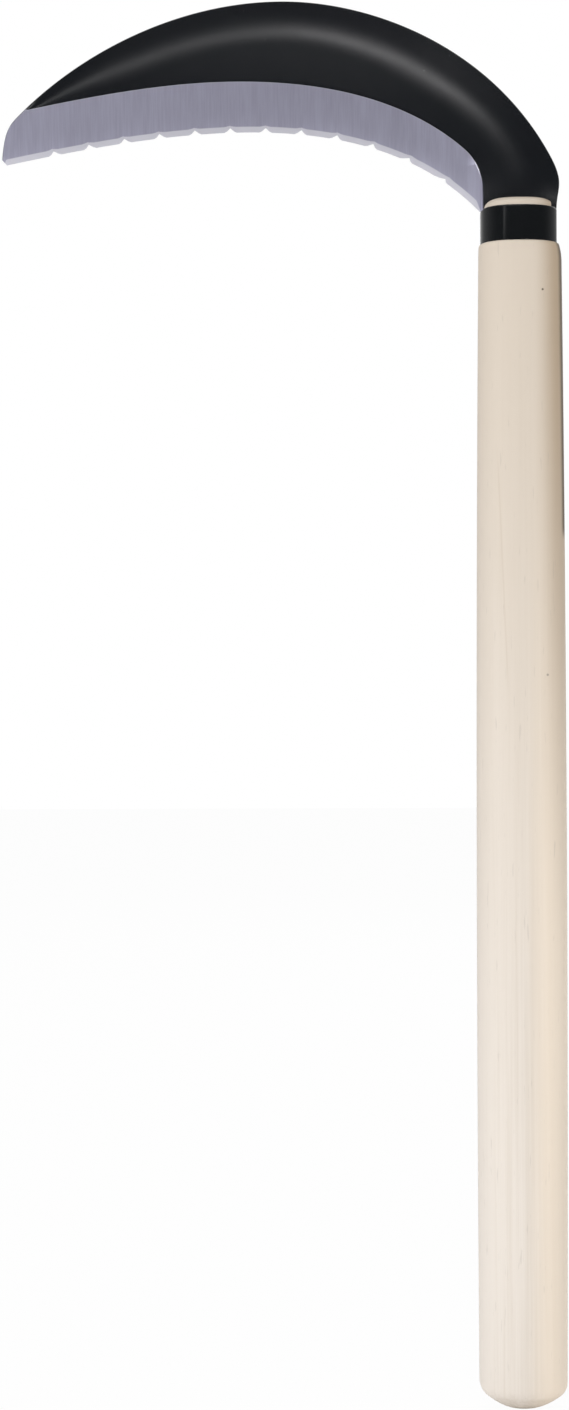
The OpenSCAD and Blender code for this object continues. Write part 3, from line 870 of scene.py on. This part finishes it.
class SICKLE_OT_stage(bpy.types.Operator):
    """Set the floor, the soft lights and the camera"""
    bl_idname = "sickle.stage"
    bl_label = "Stage"

    # The floor's size and drop below the butt in metres, its grey, and how far the camera sees it glow
    FLOOR_SIZE, FLOOR_DROP, FLOOR_GREY, FLOOR_GLOW = 8.0, 0.0002, (0.9, 0.9, 0.9), 0.965
    # The room's light: where it turns from dim to bright, what it gains there, and its least value
    ROOM_TURN, ROOM_SHARE = (-0.75, 0.2), (0.5, 0.12)
    # Name, place, width, height and power of each lamp, and the place that all of them face
    LAMPS = (
        ("key_lamp", (-1.0, -1.0, 0.25), 1.2, 0.45, 8.6),
        ("fill_lamp", (1.0, -1.0, 0.25), 1.2, 0.45, 6.0),
        ("top_lamp", (-0.4, -0.7, 1.8), 1.0, 1.0, 7.0),
        ("rear_lamp", (0.4, 1.2, 1.0), 1.0, 1.0, 5.0),
    )
    LAMP_AIM = (-0.05, 0.0, 0.25)
    # Narrow strips in front of the tool, laid out as an arch that the blade's ridge reflects: their
    # corners sideways and up, their shared place and width, and the radiance of each
    ARCH = ((-0.62, 0.70), (-0.29, 0.875), (-0.08, 0.935), (0.18, 0.88))
    ARCH_Y, STRIP_WIDTH, STRIP_RADIANCE = -1.2, 0.07, (2.4, 3.4, 8.0)
    # Nearest and farthest distance that the camera sees, in metres
    CLIP = (0.01, 50.0)

    def execute(self, context):
        self.floor()
        self.world(context.scene)
        self.lamps()
        self.camera(context.scene)
        context.scene.view_settings.view_transform = "Standard"
        return {"FINISHED"}

    def floor(self):
        """A floor that gives back light and looks white to the camera."""
        deselect_all()
        bpy.ops.mesh.primitive_plane_add(size=self.FLOOR_SIZE, location=(0, 0, -self.FLOOR_DROP))
        floor = bpy.context.object
        floor.name = "pale_floor"
        material = bpy.data.materials.new("floor_white")
        material.use_nodes = True
        nodes = Nodes(material.node_tree)
        nodes.tree.nodes.remove(nodes.tree.nodes["Principled BSDF"])
        diffuse = nodes.add("ShaderNodeBsdfDiffuse")
        nodes.feed(diffuse.inputs["Color"], self.FLOOR_GREY)
        glow = nodes.add("ShaderNodeEmission")
        seen = nodes.add("ShaderNodeLightPath").outputs["Is Camera Ray"]
        blend = nodes.add("ShaderNodeMixShader")
        parts = (nodes.product(seen, self.FLOOR_GLOW), diffuse.outputs[0], glow.outputs[0])
        for socket, value in zip(blend.inputs, parts):
            nodes.feed(socket, value)
        nodes.feed(nodes.tree.nodes["Material Output"].inputs["Surface"], blend.outputs[0])
        dress(floor, material)

    def world(self, scene):
        """A room that is dim in front of the tool, pale behind it, and white to the camera."""
        world = bpy.data.worlds.new("soft_world")
        scene.world = world
        world.use_nodes = True
        nodes = Nodes(world.node_tree)
        background = nodes.tree.nodes["Background"]
        around = nodes.axes(nodes.add("ShaderNodeTexCoord").outputs["Generated"])
        room = nodes.scaled(nodes.rising(around["Y"], *self.ROOM_TURN), *self.ROOM_SHARE)
        seen = nodes.add("ShaderNodeLightPath").outputs["Is Camera Ray"]
        nodes.feed(background.inputs["Color"], (1.0, 1.0, 1.0))
        nodes.feed(background.inputs["Strength"], nodes.between(seen, room, 1.0))

    def lamps(self):
        """Four soft lamps and the arch of strips."""
        for name, place, width, height, power in self.LAMPS:
            lamp = area_lamp(name, width, height, power)
            lamp.location = place
            lamp.rotation_euler = (Vector(self.LAMP_AIM) - lamp.location).to_track_quat("-Z", "Y").to_euler()
        corners = [Vector((x, self.ARCH_Y, z)) for x, z in self.ARCH]
        away = Vector((0.0, -1.0, 0.0))
        for i, (start, end, radiance) in enumerate(zip(corners, corners[1:], self.STRIP_RADIANCE)):
            span = (end - start).length
            power = radiance * math.pi * span * self.STRIP_WIDTH
            strip = area_lamp(f"strip_{i}", span, self.STRIP_WIDTH, power)
            along = (end - start).normalized()
            set_axes(strip, (start + end) / 2, along, away.cross(along), away)

    def camera(self, scene):
        """The camera of the reference view."""
        stage = scene.sickle_stage
        lens = bpy.data.cameras.new("view_camera")
        camera = bpy.data.objects.new("view_camera", lens)
        bpy.context.scene.collection.objects.link(camera)
        right = Vector((math.cos(stage.lean), 0.0, -math.sin(stage.lean)))
        up = Vector((math.sin(stage.lean), 0.0, math.cos(stage.lean)))
        place = Vector((stage.camera_x, -stage.distance, stage.camera_z)) * MM
        set_axes(camera, place, right, up, right.cross(up))
        lens.sensor_fit = "VERTICAL"
        lens.sensor_height = SENSOR
        lens.lens = PIXELS_PER_MM * stage.distance / VIEW_HEIGHT * SENSOR
        lens.clip_start, lens.clip_end = self.CLIP
        scene.camera = camera


class SICKLE_PT_panel(bpy.types.Panel):
    """Lists the pieces of the sickle and their settings"""
    bl_idname = "SICKLE_PT_panel"
    bl_label = "Weeding Sickle"
    bl_space_type = "VIEW_3D"
    bl_region_type = "UI"
    bl_category = "Sickle"

    def draw(self, context):
        for operator in OPERATORS:
            self.layout.operator(operator.bl_idname)
        for group in SETTINGS:
            settings = getattr(context.scene, group)
            for key in settings.bl_rna.properties.keys():
                if key not in ("rna_type", "name"):
                    self.layout.prop(settings, key)


SETTINGS = {
    "sickle_blade": SickleBladeSettings,
    "sickle_handle": SickleHandleSettings,
    "sickle_stage": SickleStageSettings,
}
OPERATORS = (SICKLE_OT_blade, SICKLE_OT_handle, SICKLE_OT_ferrule, SICKLE_OT_nail, SICKLE_OT_stage)
CLASSES = (*SETTINGS.values(), *OPERATORS, SICKLE_PT_panel)


def register():
    for cls in CLASSES:
        bpy.utils.register_class(cls)
    for name, group in SETTINGS.items():
        setattr(bpy.types.Scene, name, bpy.props.PointerProperty(type=group))


def unregister():
    for name in SETTINGS:
        delattr(bpy.types.Scene, name)
    for cls in reversed(CLASSES):
        bpy.utils.unregister_class(cls)


def main():
    register()
    bpy.ops.sickle.blade()
    bpy.ops.sickle.handle()
    bpy.ops.sickle.ferrule()
    bpy.ops.sickle.nail()
    bpy.ops.sickle.stage()


if __name__ == "__main__":
    main()
